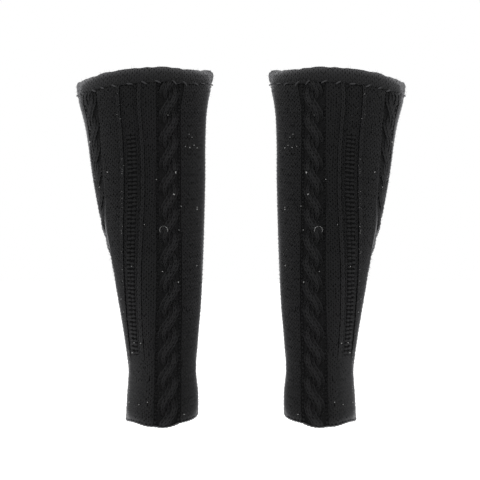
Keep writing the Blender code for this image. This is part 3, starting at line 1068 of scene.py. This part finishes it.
def yarn_material(name, dark, pale, sheen, twisted):
    """Black yarn, mottled at random; a stitch's yarn is painted darker in the pattern's hollows and
    paler on its heights, a painted shade and highlight.

    Sheen is the share of a pale colour painted over the yarn where the cloth is seen straight on,
    a painted sheen. Seen along the cloth far more of it is painted. Only stitches are twisted, and
    know the way out of the cloth.
    """
    material = bpy.data.materials.new(name)
    material.use_nodes = True
    tree = material.node_tree
    place = add_node(tree, "ShaderNodeTexCoord", output=3)
    patches = noise(tree, place, 22.0, 3.0)
    mottle = noise(tree, place, 230.0, 2.0)
    hair = noise(tree, place, 2600.0, 4.0, 0.65)
    shade = 0.45 * patches + 0.35 * mottle + 0.2 * hair
    relief = 0.00022 * hair
    rim = {"Blend": 0.5}
    sheen_boost = 1.0
    skin = add_node(tree, "ShaderNodeUVMap", {"uv_map": "Yarn"})
    across = add_node(tree, "ShaderNodeSeparateXYZ", None, {0: skin})
    if twisted:
        # Painted shade in the pattern's hollows and painted highlight on its heights.
        crest_shading = add_node(tree, "ShaderNodeAttribute", {"attribute_name": "Crest"}, output=2)
        shade = shade - 0.55 + 1.1 * crest_shading
        # The listed patches make the painted sheen stronger, or weaker below zero.
        sheen_patch = add_node(tree, "ShaderNodeAttribute", {"attribute_name": "Rubbed"}, output=2)
        sheen_boost = 1 + PATCH_SHEEN_BOOST * sheen_patch
        # The painted sheen follows the way out of the cloth, not the bumps of each stitch.
        away = add_node(tree, "ShaderNodeAttribute", {"attribute_name": "Away"}, output=1)
        rim["Normal"] = add_node(
            tree, "ShaderNodeVectorTransform",
            {"vector_type": "NORMAL", "convert_from": "OBJECT", "convert_to": "WORLD"}, {0: away})
        plies = (2.0 * across + 3.5 * Term(across.socket.node.outputs[1])) * (TURN)
        relief = relief + 0.00012 * plies.maths("SINE", 0.0)
    else:
        down = add_node(tree, "ShaderNodeSeparateXYZ", None, {0: place}, output=2)
        wales = (across * (WALES_INSIDE * math.pi)).maths("SINE", 0.0)
        rows = (down * (TURN / (ROW * MM))).maths("SINE", 0.0)
        relief = relief + 0.0004 * wales * rows
    # Painted sheen: the colour is mixed towards pale grey the further the way out of the cloth turns from
    # the camera.
    facing = 1.02 - add_node(tree, "ShaderNodeLayerWeight", None, rim, output=1)
    painted_sheen = (sheen * facing**SHEEN_SPREAD * sheen_boost).maths("MINIMUM", MOST_PAINTED_SHEEN)
    mix = add_node(tree, "ShaderNodeMix", {"data_type": "RGBA"},
                   {0: shade, 6: (*dark, 1), 7: (*pale, 1)}, output=2)
    with_painted_sheen = add_node(tree, "ShaderNodeMix", {"data_type": "RGBA"},
                     {0: painted_sheen, 6: mix, 7: (*SHEEN_PAINT_COLOUR, 1)}, output=2)
    bump = add_node(tree, "ShaderNodeBump", None, {"Height": relief, "Distance": 1.0, "Strength": 0.9})
    shader = tree.nodes["Principled BSDF"]
    tree.links.new(with_painted_sheen.socket, shader.inputs["Base Color"])
    tree.links.new(bump.socket, shader.inputs["Normal"])
    tree.links.new((0.8 + 0.15 * hair).socket, shader.inputs["Roughness"])
    set_values(shader, {"Specular IOR Level": 0.05, "Sheen Weight": 0.05, "Sheen Roughness": 0.35,
                        "Sheen Tint": (0.6, 0.6, 0.62, 1)})
    return material


# The yarn's dark end is painted shade for the hollows and its pale end painted highlight for the heights;
# random mottling mixes between them.
YARN_DARK = (0.0008, 0.0008, 0.0008)
YARN_PALE = (0.0085, 0.0085, 0.0088)
WELT_DARK = (0.003, 0.003, 0.0031)
WELT_PALE = (0.01, 0.01, 0.0103)
# The number after the two colours is each yarn's share of painted sheen where the cloth is seen straight
# on.
tube_yarn = yarn_material("Black yarn", YARN_DARK, YARN_PALE, 0.012, True)
tube_back = yarn_material("Black yarn behind", YARN_DARK, YARN_PALE, 0.005, False)
welt_wool = yarn_material("Black welt yarn", WELT_DARK, WELT_PALE, 0.011, True)
welt_back = yarn_material("Black welt yarn behind", WELT_DARK, WELT_PALE, 0.008, False)
# The cast-off yarn is coloured far paler than the tube's black: a painted highlight along the lower hem,
# whose yarn faces down into shade.
hem_wool_painted_pale = yarn_material("Black hem yarn", (0.04, 0.04, 0.041), (0.10, 0.10, 0.102), 0.03, True)
fibre_wool = yarn_material("Stray fibres", (0.02, 0.02, 0.021), (0.05, 0.05, 0.052), 0.004, False)
# The sewing yarn is coloured paler than the welt's: a painted highlight where it catches the light.
sewing_yarn_painted_pale = yarn_material("Black sewing yarn", (0.004, 0.004, 0.0042), (0.045, 0.045, 0.047), 0.015, True)
lint_fluff = yarn_material("Pale lint", (0.15, 0.15, 0.15), (0.60, 0.60, 0.59), 0.01, False)
print("the yarn's colour runs from", YARN_DARK[0], "to", YARN_PALE[0], "of white")

# %% [markdown]
# ## Dressing both legs
#
# The second leg warmer is the first one's mirror image, as in the photo. Its pieces are mirrored
# across the plane between the two and turned right side out again. Each piece rides on the packed
# model's only body.

# %% Finish, mirror and attach
left = [
    (cloth, "knit", tube_back), (cables, "knit", tube_yarn), (fields, "knit", tube_yarn),
    (ridge_yarn, "knit", tube_yarn), (ladders, "knit", tube_yarn), (cast_off, "knit", hem_wool_painted_pale),
    (tube_fuzz, "knit", fibre_wool), (lint, "knit", lint_fluff),
    (welt_cloth, "welt", welt_back), (welt_yarn, "welt", welt_wool),
    (overcast, "welt", sewing_yarn_painted_pale), (welt_fuzz, "welt", fibre_wool),
]


def mirrored(source):
    twin = bmesh.new()
    twin.from_mesh(source.data)
    bmesh.ops.scale(twin, verts=twin.verts[:], vec=(-1, 1, 1))
    bmesh.ops.translate(twin, verts=twin.verts[:], vec=(2 * MIRROR_X * MM, 0, 0))
    bmesh.ops.reverse_faces(twin, faces=twin.faces[:])
    mesh = as_mesh(twin, source.name.replace("left", "right"))
    if "Away" in mesh.attributes:
        away = np.empty(3 * len(mesh.vertices), np.float32)
        mesh.attributes["Away"].data.foreach_get("vector", away)
        away[::3] *= -1
        mesh.attributes["Away"].data.foreach_set("vector", away)
    return added(mesh.name, mesh)


made = {}
for source, slot, material in left:
    for piece in (source, mirrored(source)):
        piece.data.materials.clear()
        piece.data.materials.append(material)
        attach(piece, "root")
        made[piece.name] = piece
print(len(made), "pieces dress the two leg warmers")

# %% [markdown]
# ## The cloths replace the solids
#
# A tube narrows from the welt to the lower hem, and the welt is a band twice its own height. Rings
# of points are found round the cloth at sixty levels, but nothing uses them. The solids are hidden,
# and the cloths replace them.

levels = np.linspace(TUBE_START, LENGTH, 60)
turns = np.linspace(0, TURN, 200)
for level in levels:
    ring = wall_point(turns, row_height(turns, level), FIELD_WALL - CLOTH_SINK + 0 * turns)
for side in ("left", "right"):
    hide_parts(f"{side}_tube")
    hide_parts(f"{side}_welt")

# %% Count the triangles
total = 0
for name, piece in sorted(made.items()):
    piece.data.calc_loop_triangles()
    triangles = len(piece.data.loop_triangles)
    total += triangles
    print(name, triangles)
print("triangles in all:", total)
